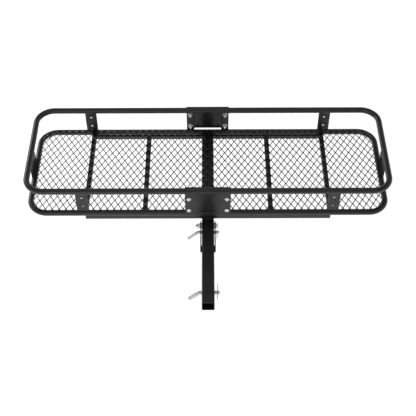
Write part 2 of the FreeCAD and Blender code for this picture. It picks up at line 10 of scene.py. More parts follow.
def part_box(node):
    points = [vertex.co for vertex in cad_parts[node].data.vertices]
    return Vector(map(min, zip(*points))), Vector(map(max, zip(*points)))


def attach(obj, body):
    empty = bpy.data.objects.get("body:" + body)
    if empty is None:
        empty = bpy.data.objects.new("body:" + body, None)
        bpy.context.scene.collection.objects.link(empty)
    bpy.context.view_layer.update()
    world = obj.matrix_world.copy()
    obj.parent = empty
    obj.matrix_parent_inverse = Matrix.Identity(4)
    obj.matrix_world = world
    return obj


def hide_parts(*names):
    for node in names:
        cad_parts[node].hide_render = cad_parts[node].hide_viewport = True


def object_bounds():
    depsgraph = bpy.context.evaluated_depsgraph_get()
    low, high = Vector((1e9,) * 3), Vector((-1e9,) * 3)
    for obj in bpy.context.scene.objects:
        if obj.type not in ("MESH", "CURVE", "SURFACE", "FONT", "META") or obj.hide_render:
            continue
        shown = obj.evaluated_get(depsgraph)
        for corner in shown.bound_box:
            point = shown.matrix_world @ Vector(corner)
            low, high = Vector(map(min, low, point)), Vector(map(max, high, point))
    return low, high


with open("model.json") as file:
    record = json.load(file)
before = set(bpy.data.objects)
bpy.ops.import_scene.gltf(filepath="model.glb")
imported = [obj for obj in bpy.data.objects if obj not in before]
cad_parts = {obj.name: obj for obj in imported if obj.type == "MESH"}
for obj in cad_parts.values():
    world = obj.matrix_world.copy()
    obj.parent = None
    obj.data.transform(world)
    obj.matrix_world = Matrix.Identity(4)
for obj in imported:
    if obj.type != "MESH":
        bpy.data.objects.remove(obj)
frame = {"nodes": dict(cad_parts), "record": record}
CAD_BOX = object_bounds()

# A folding hitch-mounted cargo basket, in metres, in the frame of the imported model: +X along the
# basket, +Y from the vehicle to the basket, +Z up, and the origin at the hitch pin's hole.

MM = 0.001
X, Y, Z = Vector((1, 0, 0)), Vector((0, 1, 0)), Vector((0, 0, 1))
SIDES = (("left", -1), ("right", 1))
ENDS = (("front", -1), ("rear", 1))
rng = random.Random(11)


# ---------------------------------------------------------------- materials

def new_material(name):
    """A node material and its shader, with the object's own coordinates."""
    material = bpy.data.materials.new(name)
    material.use_nodes = True
    nodes = material.node_tree.nodes
    shader = nodes["Principled BSDF"]
    coordinates = nodes.new("ShaderNodeTexCoord")
    return material, shader, coordinates.outputs["Object"]


def noise(material, vector, scale, detail=3.0, stretch=None):
    nodes, links = material.node_tree.nodes, material.node_tree.links
    if stretch:
        mapping = nodes.new("ShaderNodeMapping")
        mapping.inputs["Scale"].default_value = stretch
        links.new(vector, mapping.inputs["Vector"])
        vector = mapping.outputs["Vector"]
    texture = nodes.new("ShaderNodeTexNoise")
    texture.inputs["Scale"].default_value = scale
    texture.inputs["Detail"].default_value = detail
    links.new(vector, texture.inputs["Vector"])
    return texture.outputs["Fac"]


def blend_colour(material, factor, low, high, socket, start=0.35, stop=0.65):
    nodes, links = material.node_tree.nodes, material.node_tree.links
    ramp = nodes.new("ShaderNodeValToRGB")
    ramp.color_ramp.elements[0].position = start
    ramp.color_ramp.elements[1].position = stop
    ramp.color_ramp.elements[0].color = (*low, 1.0)
    ramp.color_ramp.elements[1].color = (*high, 1.0)
    links.new(factor, ramp.inputs["Fac"])
    links.new(ramp.outputs["Color"], socket)


def blend_value(material, factor, low, high, socket):
    nodes, links = material.node_tree.nodes, material.node_tree.links
    spread = nodes.new("ShaderNodeMapRange")
    spread.inputs["From Min"].default_value = 0.3
    spread.inputs["From Max"].default_value = 0.7
    spread.inputs["To Min"].default_value = low
    spread.inputs["To Max"].default_value = high
    links.new(factor, spread.inputs["Value"])
    links.new(spread.outputs["Result"], socket)


def add_bump(material, shader, height, strength, distance):
    nodes, links = material.node_tree.nodes, material.node_tree.links
    bump = nodes.new("ShaderNodeBump")
    bump.inputs["Strength"].default_value = strength
    bump.inputs["Distance"].default_value = distance
    links.new(height, bump.inputs["Height"])
    links.new(bump.outputs["Normal"], shader.inputs["Normal"])


def powder_coat(name, dark, light, rough_low, rough_high, grain):
    """Satin black powder coat: a fine pebbled skin with slow changes of gloss."""
    material, shader, place = new_material(name)
    blend_colour(material, noise(material, place, 22.0), dark, light, shader.inputs["Base Color"])
    blend_value(material, noise(material, place, 55.0), rough_low, rough_high,
                shader.inputs["Roughness"])
    add_bump(material, shader, noise(material, place, grain, 2.0), 0.35, 0.12 * MM)
    return material


def plated_steel(name, dark, light, rough_low, rough_high, stretch):
    """Zinc plate over turned or drawn steel, with faint drawing lines."""
    material, shader, place = new_material(name)
    shader.inputs["Metallic"].default_value = 1.0
    blend_colour(material, noise(material, place, 90.0), dark, light, shader.inputs["Base Color"])
    blend_value(material, noise(material, place, 240.0), rough_low, rough_high,
                shader.inputs["Roughness"])
    add_bump(material, shader, noise(material, place, 700.0, 2.0, stretch), 0.2, 0.04 * MM)
    return material


def studio_floor():
    material, shader, place = new_material("studio_floor")
    shader.inputs["Specular IOR Level"].default_value = 0.1
    shader.inputs["Roughness"].default_value = 0.9
    blend_colour(material, noise(material, place, 1.5), (0.93, 0.93, 0.93), (0.95, 0.95, 0.95),
                 shader.inputs["Base Color"])
    shader.inputs["Emission Color"].default_value = (1.0, 1.0, 1.0, 1.0)
    shader.inputs["Emission Strength"].default_value = 0.62
    return material


FINISH = {
    "powder_coat": powder_coat("black_powder_coat", (0.006, 0.006, 0.0065),
                               (0.011, 0.011, 0.012), 0.27, 0.40, 1100.0),
    "mesh": powder_coat("black_powder_coat_on_mesh", (0.010, 0.010, 0.0105),
                        (0.020, 0.020, 0.021), 0.30, 0.44, 1500.0),
    "zinc": plated_steel("bright_zinc", (0.56, 0.57, 0.60), (0.72, 0.73, 0.75), 0.22, 0.38,
                         (0.15, 1.0, 1.0)),
    "pin_steel": plated_steel("dull_zinc", (0.42, 0.43, 0.44), (0.56, 0.57, 0.58), 0.28, 0.44,
                              (0.15, 1.0, 1.0)),
    "spring_wire": plated_steel("plated_spring_wire", (0.42, 0.43, 0.45), (0.62, 0.63, 0.65),
                                0.24, 0.40, (1.0, 1.0, 0.12)),
}


# ---------------------------------------------------------------- mesh building

class Shape:
    """A mesh in the making: rings of points skinned one to the next."""

    def __init__(self):
        self.points = []
        self.faces = []

    def ring(self, points):
        start = len(self.points)
        self.points.extend(points)
        return list(range(start, len(self.points)))

    def skin(self, rings, closed=False):
        """Join equal rings in order. An open skin is capped at both ends."""
        numbers = [self.ring(points) for points in rings]
        pairs = list(zip(numbers, numbers[1:]))
        if closed:
            pairs.append((numbers[-1], numbers[0]))
        for near, far in pairs:
            count = len(near)
            for i in range(count):
                j = (i + 1) % count
                self.faces.append((near[i], near[j], far[j], far[i]))
        if not closed:
            self.faces.append(tuple(reversed(numbers[0])))
            self.faces.append(tuple(numbers[-1]))

    def mesh(self, name, sharp=math.radians(32)):
        mesh = bpy.data.meshes.new(name)
        mesh.from_pydata([tuple(p) for p in self.points], [], self.faces)
        return finish_mesh(mesh, sharp)


def finish_mesh(mesh, sharp=math.radians(32)):
    work = bmesh.new()
    work.from_mesh(mesh)
    bmesh.ops.remove_doubles(work, verts=work.verts, dist=0.002 * MM)
    bmesh.ops.recalc_face_normals(work, faces=work.faces)
    work.to_mesh(mesh)
    work.free()
    mesh.shade_smooth()
    mesh.set_sharp_from_angle(angle=sharp)
    return mesh


def add_piece(name, mesh, body, slot, *nodes):
    """Put a finished mesh in the scene, on its body and with its finish."""
    piece = bpy.data.objects.new(name, mesh)
    bpy.context.scene.collection.objects.link(piece)
    mesh.materials.clear()
    mesh.materials.append(FINISH[slot])
    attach(piece, body)
    if nodes:
        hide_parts(*nodes)
    return piece


def soften(piece, width, segments=2):
    """Round off the sharp edges that sheared and sawn steel has after coating."""
    bevel = piece.modifiers.new("soft_edges", "BEVEL")
    bevel.width = width
    bevel.segments = segments
    bevel.limit_method = "ANGLE"
    bevel.angle_limit = math.radians(40)
    bevel.harden_normals = True
    return piece


def travel(path):
    """(point, side, up) along a path, turned as little as possible from point to point."""
    tangents = []
    for i in range(len(path)):
        before, after = path[max(i - 1, 0)], path[min(i + 1, len(path) - 1)]
        tangents.append((after - before).normalized())
    up = Z if abs(tangents[0].dot(Z)) < 0.9 else Y
    side = tangents[0].cross(up).normalized()
    frames = []
    for i, tangent in enumerate(tangents):
        if i:
            side = tangents[i - 1].rotation_difference(tangent) @ side
        side = (side - tangent * side.dot(tangent)).normalized()
        frames.append((path[i], side, side.cross(tangent)))
    return frames


def circle(centre, side, up, radius, count):
    turns = (math.tau * i / count for i in range(count))
    return [centre + (side * math.cos(a) + up * math.sin(a)) * radius for a in turns]


def arc(centre, start, axis, angle, count):
    """Points round centre from start, turning by angle about axis."""
    arm = start - centre
    return [centre + Matrix.Rotation(angle * i / count, 3, axis) @ arm for i in range(count + 1)]


def rod(shape, path, radii, count=24):
    """A solid round bar whose radius may change along its path."""
    if not hasattr(radii, "__len__"):
        radii = [radii] * len(path)
    shape.skin([circle(p, s, u, r, count) for (p, s, u), r in zip(travel(path), radii)])


def tube(shape, path, outer, inner, count=40):
    """A round tube with open ends."""
    frames = travel(path)
    outside = [circle(p, s, u, outer, count) for p, s, u in frames]
    inside = [circle(p, s, u, inner, count) for p, s, u in reversed(frames)]
    shape.skin(outside + inside, closed=True)


def basis(axis):
    """Two directions square to an axis."""
    side = axis.cross(Z if abs(axis.dot(Z)) < 0.9 else X).normalized()
    return side, axis.cross(side)


def lathe(shape, origin, axis, profile, count=36, closed=False):
    """Turn a profile of (radius, height) points about an axis."""
    side, up = basis(axis)
    shape.skin([circle(origin + axis * height, side, up, radius, count)
                for radius, height in profile], closed)


def hexagon(centre, side, up, across_flats, limit, count=48):
    """A ring that follows a hexagon, held inside a circle of radius limit."""
    points = []
    for i in range(count):
        angle = math.tau * i / count
        offset = (angle + math.pi / 6) % (math.pi / 3) - math.pi / 6
        radius = min(across_flats / 2 / math.cos(offset), limit)
        points.append(centre + (side * math.cos(angle) + up * math.sin(angle)) * radius)
    return points


def hex_head(shape, origin, axis, across_flats, height, bore=0.0, both=True):
    """A hexagon head or nut, its corners turned off at the outer face, or at both."""
    side, up = basis(axis)
    corner = across_flats / math.sqrt(3)
    face = across_flats * 0.47
    drop = (corner - face) * math.tan(math.radians(30))
    levels = [(0.0, face if both else corner)]
    if both:
        levels.append((drop, corner))
    levels += [(height - drop, corner), (height, face)]
    rings = [hexagon(origin + axis * level, side, up, across_flats, limit)
             for level, limit in levels]
    if bore:
        chamfer = 0.6 * MM
        inner = [(height, bore + chamfer), (height - chamfer, bore), (chamfer, bore),
                 (0.0, bore + chamfer)]
        rings += [circle(origin + axis * level, side, up, radius, 48) for level, radius in inner]
    shape.skin(rings, closed=bool(bore))


def thread(shape, origin, axis, radius, length, pitch, count=24):
    """A helical screw thread with a chamfered end."""
    side, up = basis(axis)
    depth, lead_in = pitch * 0.5, pitch * 1.2
    steps = max(int(length / pitch * 8), 8)
    rings = []
    for step in range(steps + 1):
        height = length * step / steps
        ring = []
        for i in range(count):
            turn = i / count
            phase = (height / pitch - turn) % 1.0
            cut = depth * abs(2 * phase - 1)
            end = max(0.0, height - (length - lead_in)) / lead_in * depth * 1.4
            angle = math.tau * turn
            arm = side * math.cos(angle) + up * math.sin(angle)
            ring.append(origin + axis * height + arm * (radius - max(cut, end)))
        rings.append(ring)
    shape.skin(rings)


def weld(shape, path, radius, ripple=2.6 * MM, count=10):
    """A bead laid along a path: overlapping ripples, tapered at both ends."""
    length = sum((b - a).length for a, b in zip(path, path[1:]))
    steps = max(int(length / (0.65 * MM)), 6)
    points, radii = [], []
    for step in range(steps + 1):
        distance = length * step / steps
        points.append(along(path, distance))
        wave = abs(math.sin(math.pi * distance / ripple))
        taper = min(1.0, 0.35 + min(distance, length - distance) / (2.5 * radius))
        radii.append(radius * taper * (0.86 + 0.16 * wave + rng.uniform(-0.025, 0.025)))
    rod(shape, points, radii, count)


def along(path, distance):
    for a, b in zip(path, path[1:]):
        span = (b - a).length
        if distance <= span:
            return a.lerp(b, distance / span)
        distance -= span
    return path[-1].copy()


def rounded_square(centre, side, up, half_side, half_up, radius, corner_steps=5):
    """A ring that follows a rectangle with round corners."""
    points = []
    for quarter, (a, b) in enumerate(((1, 1), (-1, 1), (-1, -1), (1, -1))):
        middle = centre + side * a * (half_side - radius) + up * b * (half_up - radius)
        for i in range(corner_steps + 1):
            angle = (quarter + i / corner_steps) * math.pi / 2
            points.append(middle + (side * math.cos(angle) + up * math.sin(angle)) * radius)
    return points


def square_tube(shape, start, stop, half_side, half_up, wall, corner):
    """A rolled square tube, open at both ends."""
    axis = (stop - start).normalized()
    side, up = (X, Z) if abs(axis.dot(Y)) > 0.9 else (Y, Z)
    chamfer = 0.4 * MM
    inside = max(corner - wall, 0.3 * MM)

    def outer(point, trim):
        return rounded_square(point, side, up, half_side - trim, half_up - trim, corner)

    def inner(point, trim):
        return rounded_square(point, side, up, half_side - wall + trim, half_up - wall + trim,
                              inside)

    rings = [outer(start, chamfer), outer(start + axis * chamfer, 0),
             outer(stop - axis * chamfer, 0), outer(stop, chamfer),
             inner(stop, chamfer), inner(stop - axis * chamfer, 0),
             inner(start + axis * chamfer, 0), inner(start, chamfer)]
    shape.skin(rings, closed=True)


def flat_plate(name, centre, width, height, thickness, corner, holes=()):
    """An upright plate facing -Y and +Y, with round holes, rounded edges and corners."""
    curve = bpy.data.curves.new(name + "_outline", "CURVE")
    curve.dimensions = "2D"
    curve.fill_mode = "BOTH"
    soft = 0.5 * MM
    curve.extrude = thickness / 2 - soft
    curve.bevel_depth = soft
    curve.bevel_resolution = 2
    curve.offset = -soft

    def loop(points):
        spline = curve.splines.new("POLY")
        spline.points.add(len(points) - 1)
        for target, point in zip(spline.points, points):
            target.co = (point.x, point.y, 0.0, 1.0)
        spline.use_cyclic_u = True

    loop(rounded_square(Vector(), X, Y, width / 2, height / 2, corner))
    for across, up, radius in holes:
        loop(list(reversed(circle(Vector((across, up, 0)), X, Y, radius, 32))))
    holder = bpy.data.objects.new(name + "_holder", curve)
    mesh = bpy.data.meshes.new_from_object(holder)
    bpy.data.objects.remove(holder)
    mesh.transform(Matrix.Translation(centre) @ Matrix.Rotation(math.pi / 2, 4, "X"))
    return finish_mesh(mesh)


# ---------------------------------------------------------------- sizes read from the frame

def middle(node):
    low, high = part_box(node)
    return (low + high) / 2


rail_low, rail_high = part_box("lower_rail_right")
RAIL_R = (rail_high.z - rail_low.z) / 2
LOWER_Z = (rail_high.z + rail_low.z) / 2
UPPER_Z = middle("upper_rail_right").z
RAIL_X = rail_high.x - RAIL_R
BASKET_Y = (rail_high.y + rail_low.y) / 2
RAIL_Y = (rail_high.y - rail_low.y) / 2 - RAIL_R
FLOOR_Z = rail_high.z
CORNER_R = 75 * MM
RAIL_WALL = 2 * MM
SMALL_WALL = 2 * MM
SMALL_CORNER = 2 * MM


def rail_path(side, level, gap):
    """The centre line of one half hoop, from its front end round to its rear end."""
    bend_x, bend_y = (RAIL_X - CORNER_R) * side, RAIL_Y - CORNER_R

    def at(x, y):
        return Vector((x, BASKET_Y + y, level))

    turn = Z * side
    front = arc(at(bend_x, -bend_y), at(bend_x, -RAIL_Y), turn, math.pi / 2, 18)
    rear = arc(at(bend_x, bend_y), at(RAIL_X * side, bend_y), turn, math.pi / 2, 18)
    return [at(gap * side, -RAIL_Y)] + front + rear + [at(gap * side, RAIL_Y)]


def build_rails():
    gap = rail_low.x
    for side_name, side in SIDES:
        for level_name, level in (("upper", UPPER_Z), ("lower", LOWER_Z)):
            node = "%s_rail_%s" % (level_name, side_name)
            shape = Shape()
            tube(shape, rail_path(side, level, gap), RAIL_R, RAIL_R - RAIL_WALL)
            add_piece(node + "_tube", shape.mesh(node), "basket", "powder_coat", node)


# ---------------------------------------------------------------- expanded metal floor

STRAND_WIDTH = 3.9 * MM
STRAND_THICK = 2.3 * MM
STRAND_LEAN = math.radians(24)
MESH_PITCH_X = 28.8 * MM
MESH_PITCH_Y = 46.5 * MM
KNUCKLE = 4.0 * MM
floor_low, floor_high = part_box("mesh_floor_right")
MESH_REACH_X = floor_high.x
MESH_REACH_Y = (floor_high.y - floor_low.y) / 2
MESH_CORNER_R = CORNER_R - (RAIL_Y - MESH_REACH_Y)


def floor_reach(x):
    """How far the floor reaches from the basket's centre line at a place along it."""
    over = abs(x) - (RAIL_X - CORNER_R)
    if over <= 0:
        return MESH_REACH_Y
    return RAIL_Y - CORNER_R + math.sqrt(max(MESH_CORNER_R ** 2 - over ** 2, 0.0))


def strand_points(phase, reach):
    """(y, share) along one wavy strand: share is -1 and 1 where it meets its neighbours."""
    half = MESH_PITCH_Y / 2
    flat = KNUCKLE / 2
    first = math.floor((-reach - phase * half) / half) - 1
    last = math.ceil(reach / half) + 2
    stops = []
    for number in range(first, last):
        share = 1 if (number + phase) % 2 == 0 else -1
        knuckle = number * half
        stops += [(knuckle - flat, share), (knuckle + flat, share)]
    sampled = []
    for (y0, s0), (y1, s1) in zip(stops, stops[1:]):
        steps = 4 if s0 != s1 else 1
        sampled += [(y0 + (y1 - y0) * i / steps, s0 + (s1 - s0) * i / steps)
                    for i in range(steps)]
    kept = [p for p in sampled if abs(p[0]) < reach - 0.5 * MM]

    def edge(y):
        for (y0, s0), (y1, s1) in zip(sampled, sampled[1:]):
            if y0 <= y <= y1:
                return (y, s0 + (s1 - s0) * (y - y0) / (y1 - y0))
        return (y, 0)

    return [edge(-reach)] + kept + [edge(reach)]


def build_mesh_floor(side_name, side):
    """Slit and stretched sheet: wavy strands along Y that join at knuckles and all lean
    towards the basket's middle."""
    node = "mesh_floor_" + side_name
    low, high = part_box(node)
    inner = min(abs(low.x), abs(high.x))
    half_width, half_thick = STRAND_WIDTH / 2, STRAND_THICK / 2
    rise = half_width * math.sin(STRAND_LEAN)
    run = half_width * math.cos(STRAND_LEAN)
    swing = MESH_PITCH_X / 4 - run
    level = low.z + 2 * rise + half_thick
    face = Vector((run * side, 0, -rise)) * -1
    back = Vector((rise * side, 0, run)).normalized() * half_thick
    shape = Shape()
    number = 0
    while True:
        centre = inner + swing + run + number * MESH_PITCH_X / 2
        if centre + swing + run > MESH_REACH_X:
            break
        rings = []
        for y, share in strand_points(number % 2, floor_reach(centre)):
            point = Vector(((centre + swing * share) * side, BASKET_Y + y,
                            level + rise * share))
            rings.append([point + face + back, point - face + back,
                          point - face - back, point + face - back])
        shape.skin(rings)
        number += 1
    add_piece("expanded_metal_" + side_name, shape.mesh(node + "_strands", math.radians(50)),
              "basket", "mesh", node)


SPOT_START, SPOT_STOP = 34 * MM, 20 * MM


def build_mesh_welds():
    """Small fused spots that hold the floor's strands to the rails."""
    shape = Shape()
    for side in (-1, 1):
        for end in (-1, 1):
            x = SPOT_START
            while x < RAIL_X - SPOT_STOP:
                y = BASKET_Y + end * floor_reach(x)
                spot = Vector((x * side, y, FLOOR_Z))
                size = rng.uniform(2.4, 3.3) * MM
                lathe(shape, spot - Z * MM, Z,
                      [(size * 1.25, 0), (size * 1.15, 1.1 * MM), (size * 0.8, 2.1 * MM),
                       (size * 0.3, 2.6 * MM)], 12)
                x += MESH_PITCH_X * 2
    add_piece("floor_spot_welds", shape.mesh("floor_spot_welds"), "basket", "powder_coat")


# ---------------------------------------------------------------- floor frame

def build_cross_members():
    """Square tubes whose ends run into the lower rails, with a bead down each side of a joint."""
    welds = Shape()
    for side_name, _ in SIDES:
        for place_name in ("inner", "mid", "outer"):
            node = "cross_member_%s_%s" % (place_name, side_name)
            low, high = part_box(node)
            centre = (low + high) / 2
            half_side, half_up = (high.x - low.x) / 2, (high.z - low.z) / 2
            reach = RAIL_Y - 5 * MM
            shape = Shape()
            square_tube(shape, Vector((centre.x, BASKET_Y - reach, centre.z)),
                        Vector((centre.x, BASKET_Y + reach, centre.z)),
                        half_side, half_up, SMALL_WALL, SMALL_CORNER)
            add_piece(node + "_tube", shape.mesh(node), "basket", "powder_coat", node)
            for end in (-1, 1):
                edge_y = BASKET_Y + end * (RAIL_Y - RAIL_R * 0.42)
                for sign in (-1, 1):
                    x = centre.x + sign * half_side
                    weld(welds, [Vector((x, edge_y, high.z - 1.5 * MM)),
                                 Vector((x, BASKET_Y + end * (RAIL_Y - RAIL_R), LOWER_Z)),
                                 Vector((x, BASKET_Y + end * (RAIL_Y - RAIL_R * 0.8),
                                         low.z + MM))], 1.9 * MM)
    add_piece("cross_member_welds", welds.mesh("cross_member_welds"), "basket", "powder_coat")


STITCH_PITCH, STITCH_HALF = 119 * MM, 14 * MM


def build_under_bars():
    """Square tubes along the underside, stitch-welded to the rails and the main bar."""
    welds = Shape()
    bar_low, bar_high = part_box("main_bar")
    for end_name, end in ENDS:
        node = "under_bar_" + end_name
        low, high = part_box(node)
        centre = (low + high) / 2
        shape = Shape()
        square_tube(shape, Vector((low.x, centre.y, centre.z)),
                    Vector((high.x, centre.y, centre.z)),
                    (high.y - low.y) / 2, (high.z - low.z) / 2, SMALL_WALL, SMALL_CORNER)
        add_piece(node + "_tube", shape.mesh(node), "basket", "powder_coat", node)
        outer_y = BASKET_Y + end * (RAIL_Y + 4.2 * MM)
        for stitch in range(-4, 5):
            x, level = stitch * STITCH_PITCH, high.z - 0.2 * MM
            weld(welds, [Vector((x - STITCH_HALF, outer_y, level)),
                         Vector((x + STITCH_HALF, outer_y, level))], 2.4 * MM)
        for face in (low.y, high.y):
            weld(welds, [Vector((bar_low.x + 3 * MM, face, bar_high.z)),
                         Vector((bar_high.x - 3 * MM, face, bar_high.z))], 2.8 * MM)
    add_piece("under_bar_welds", welds.mesh("under_bar_welds"), "basket", "powder_coat")


# ---------------------------------------------------------------- plates between the rails

def build_centre_plate(end_name, end):
    """A plate folded over the upper rail, with a small round at every edge."""
    node = "centre_plate_" + end_name
    low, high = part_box(node)
    thick = high.z - UPPER_Z - RAIL_R
    rail = Vector((0, BASKET_Y + RAIL_Y * end, UPPER_Z))

    def hook(radius, steps=20):
        return [rail + Y * end * radius * math.cos(math.pi * i / steps)
                + Z * radius * math.sin(math.pi * i / steps) for i in range(steps + 1)]

    outer, inner = hook(RAIL_R + thick), hook(RAIL_R)
    foot_outer = Vector((0, outer[0].y, low.z))
    foot_inner = Vector((0, inner[0].y, low.z))
    section = [foot_outer] + outer + list(reversed(inner)) + [foot_inner]
    shape = Shape()
    shape.skin([[point + X * low.x for point in section], [point + X * high.x for point in section]])
    piece = add_piece(node + "_sheet", shape.mesh(node), "basket", "powder_coat", node)
    soften(piece, 0.7 * MM, 3)


def build_upright(node, welds, hole_rise=0.0, hole_r=0.0):
    """A drilled plate between the rails, welded along its top and bottom edges."""
    low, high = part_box(node)
    centre = (low + high) / 2
    holes = [(0, rise * hole_rise, hole_r) for rise in (-1, 1)] if hole_r else []
    spare = 1.5 * MM
    mesh = flat_plate(node, centre, high.x - low.x, high.z - low.z + 2 * spare, high.y - low.y,
                      1.2 * MM, holes)
    add_piece(node + "_sheet", mesh, "basket", "powder_coat", node)
    for face in (low.y, high.y):
        for level in (low.z, high.z):
            weld(welds, [Vector((low.x + 2 * MM, face, level)),
                         Vector((high.x - 2 * MM, face, level))], 1.9 * MM)


SIDE_HOLE_RISE, SIDE_HOLE_R = 25 * MM, 4.25 * MM


def build_plates():
    welds = Shape()
    for end_name, end in ENDS:
        build_centre_plate(end_name, end)
        for side_name, _ in SIDES:
            build_upright("post_%s_%s" % (end_name, side_name), welds)
            build_upright("side_plate_%s_%s" % (end_name, side_name), welds,
                          SIDE_HOLE_RISE, SIDE_HOLE_R)
    add_piece("plate_welds", welds.mesh("plate_welds"), "basket", "powder_coat")


def build_end_angles():
    """Angle strips standing on the ends of the floor."""
    for side_name, side in SIDES:
        node = "end_angle_" + side_name
        low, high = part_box(node)
        thick, foot_end = 3 * MM, (low.x if side > 0 else high.x)
        wall_end = high.x if side > 0 else low.x
        bend = 2 * MM

        def at(x_from_wall, z):
            return Vector((wall_end - x_from_wall * side, low.y, z))

        foot = abs(wall_end - foot_end)
        outside = [at(bend + thick - (bend + thick) * math.cos(i * math.pi / 10),
                      low.z + (bend + thick) * (1 - math.sin(i * math.pi / 10)))
                   for i in range(6)]
        inside = [at(thick + bend - bend * math.cos(i * math.pi / 10),
                     low.z + thick + bend * (1 - math.sin(i * math.pi / 10)))
                  for i in range(5, -1, -1)]
        section = ([at(0, high.z)] + outside + [at(foot, low.z), at(foot, low.z + thick)]
                   + inside + [at(thick, high.z)])
        length = Y * (high.y - low.y)
        shape = Shape()
        shape.skin([section, [point + length for point in section]])
        piece = add_piece(node + "_sheet", shape.mesh(node), "basket", "powder_coat", node)
        soften(piece, 0.5 * MM)


# ---------------------------------------------------------------- centre plate fasteners

CAD_HEAD_R = 11 * MM
HEAD_R = 9.5 * MM
HEAD_RIM = 1.1 * MM
HEAD_DOME = 3.1 * MM


def build_plate_fasteners(end_name, end):
    """Dome-headed bolts outside, flanged nuts inside."""
    bolts_node, nuts_node = "plate_bolts_" + end_name, "plate_nuts_" + end_name
    low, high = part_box(bolts_node)
    nut_low, nut_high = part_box(nuts_node)
    outer_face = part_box("centre_plate_" + end_name)[0 if end < 0 else 1].y
    inner_face = nut_low.y if end < 0 else nut_high.y
    outward = Y * end
    bolt_end = high.y if end < 0 else low.y
    bolts, nuts = Shape(), Shape()
    stem_r = 5 * MM
    dome = [(HEAD_R * 0.94, 0), (HEAD_R, 0.5 * MM), (HEAD_R, HEAD_RIM)]
    dome += [(HEAD_R * math.cos(a), HEAD_RIM + HEAD_DOME * math.sin(a))
             for a in (math.pi / 2 * i / 10 for i in range(1, 10))]
    dome.append((HEAD_R * 0.05, HEAD_RIM + HEAD_DOME))
    for x in (low.x + CAD_HEAD_R, high.x - CAD_HEAD_R):
        for z in (low.z + CAD_HEAD_R, high.z - CAD_HEAD_R):
            seat = Vector((x, outer_face, z))
            lathe(bolts, seat, outward, dome, 40)
            stem_length = abs(bolt_end - outer_face)
            thread(bolts, seat, -outward, stem_r, stem_length, 1.5 * MM)
            nut_seat = Vector((x, inner_face, z))
            lathe(nuts, nut_seat, -outward,
                  [(stem_r + 0.4 * MM, 0), (10.6 * MM, 0), (10.8 * MM, 0.6 * MM),
                   (10.2 * MM, 1.5 * MM), (8.6 * MM, 2.0 * MM), (stem_r + 0.4 * MM, 2.0 * MM)],
                  40, closed=True)
            hex_head(nuts, nut_seat - outward * 1.6 * MM, -outward, 15 * MM, 6.6 * MM,
                     stem_r - 0.3 * MM)
    add_piece("dome_bolts_" + end_name, bolts.mesh(bolts_node), "basket", "zinc", bolts_node)
    add_piece("flange_nuts_" + end_name, nuts.mesh(nuts_node), "basket", "zinc", nuts_node)


# ---------------------------------------------------------------- main bar, shank and hinge

TUBE_WALL = 3 * MM
TUBE_CORNER = 5 * MM


def drill(mesh, centre, axis, radius, length):
    """Cut a round hole right through a mesh."""
    cutter_shape = Shape()
    lathe(cutter_shape, centre - axis * length / 2, axis, [(radius, 0), (radius, length)], 40)
    cutter = bpy.data.objects.new("cutter", cutter_shape.mesh("cutter"))
    blank = bpy.data.objects.new("blank", mesh)
    for item in (cutter, blank):
        bpy.context.scene.collection.objects.link(item)
    boolean = blank.modifiers.new("hole", "BOOLEAN")
    boolean.operation, boolean.object, boolean.solver = "DIFFERENCE", cutter, "EXACT"
    bpy.context.view_layer.update()
    drilled = bpy.data.meshes.new_from_object(
        blank.evaluated_get(bpy.context.evaluated_depsgraph_get()))
    for item in (cutter, blank):
        bpy.data.objects.remove(item)
    return finish_mesh(drilled)


def long_tube(node, holes):
    """A 50.8 mm square tube along Y, cross-drilled along X."""
    low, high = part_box(node)
    centre = (low + high) / 2
    half = (high.x - low.x) / 2
    shape = Shape()
    square_tube(shape, Vector((centre.x, low.y, centre.z)), Vector((centre.x, high.y, centre.z)),
                half, (high.z - low.z) / 2, TUBE_WALL, TUBE_CORNER)
    mesh = shape.mesh(node)
    for y, z, radius in holes:
        mesh = drill(mesh, Vector((0, y, z)), X, radius, half * 4)
    return mesh


def pin_axis(node):
    """(y, z, radius) of a bent pin whose straight end runs along X."""
    low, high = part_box(node)
    radius = (high.y - low.y) / 2
    return (low.y + high.y) / 2, high.z - radius, radius


PIN_CLEARANCE = 0.15 * MM
lock_y, lock_z, lock_r = pin_axis("lock_pin")
hitch_y, hitch_z, hitch_r = pin_axis("hitch_pin")
pivot = middle("pivot_nut")


def build_bars():
    sleeve_r = (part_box("pivot_sleeve")[1].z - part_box("pivot_sleeve")[0].z) / 2
    mesh = long_tube("main_bar", [(lock_y, lock_z, lock_r + PIN_CLEARANCE),
                                  (pivot.y, pivot.z, sleeve_r)])
    add_piece("main_bar_tube", mesh, "basket", "powder_coat", "main_bar")
    mesh = long_tube("shank_tube", [(hitch_y, hitch_z, hitch_r + PIN_CLEARANCE)])
    add_piece("shank_bar_tube", mesh, "shank", "powder_coat", "shank_tube")


EAR_SLANT = 52 * MM


def build_hinge_welds():
    """Beads that join the hinge plates and their packing to the shank."""
    welds = Shape()
    shank_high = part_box("shank_tube")[1]
    shim_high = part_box("hinge_shims")[1]
    for side_name, side in SIDES:
        plate_low, plate_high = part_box("hinge_plate_" + side_name)
        inner = plate_low.x if side > 0 else plate_high.x
        line = inner - 1.3 * MM * side
        nose, rear = plate_low.z + EAR_SLANT, shank_high.y - 2 * MM
        weld(welds, [Vector((line, plate_low.y + 2 * MM, shim_high.z)),
                     Vector((line, rear, shim_high.z))], 2.3 * MM)
        weld(welds, [Vector((line, plate_low.y, shim_high.z - MM)),
                     Vector((line, plate_low.y, nose)),
                     Vector((line, rear, nose - (rear - plate_low.y)))], 2.2 * MM)
    add_piece("hinge_welds", welds.mesh("hinge_welds"), "shank", "powder_coat")


PIVOT_STEM_R = 6 * MM
PIVOT_FLATS = 18.6 * MM


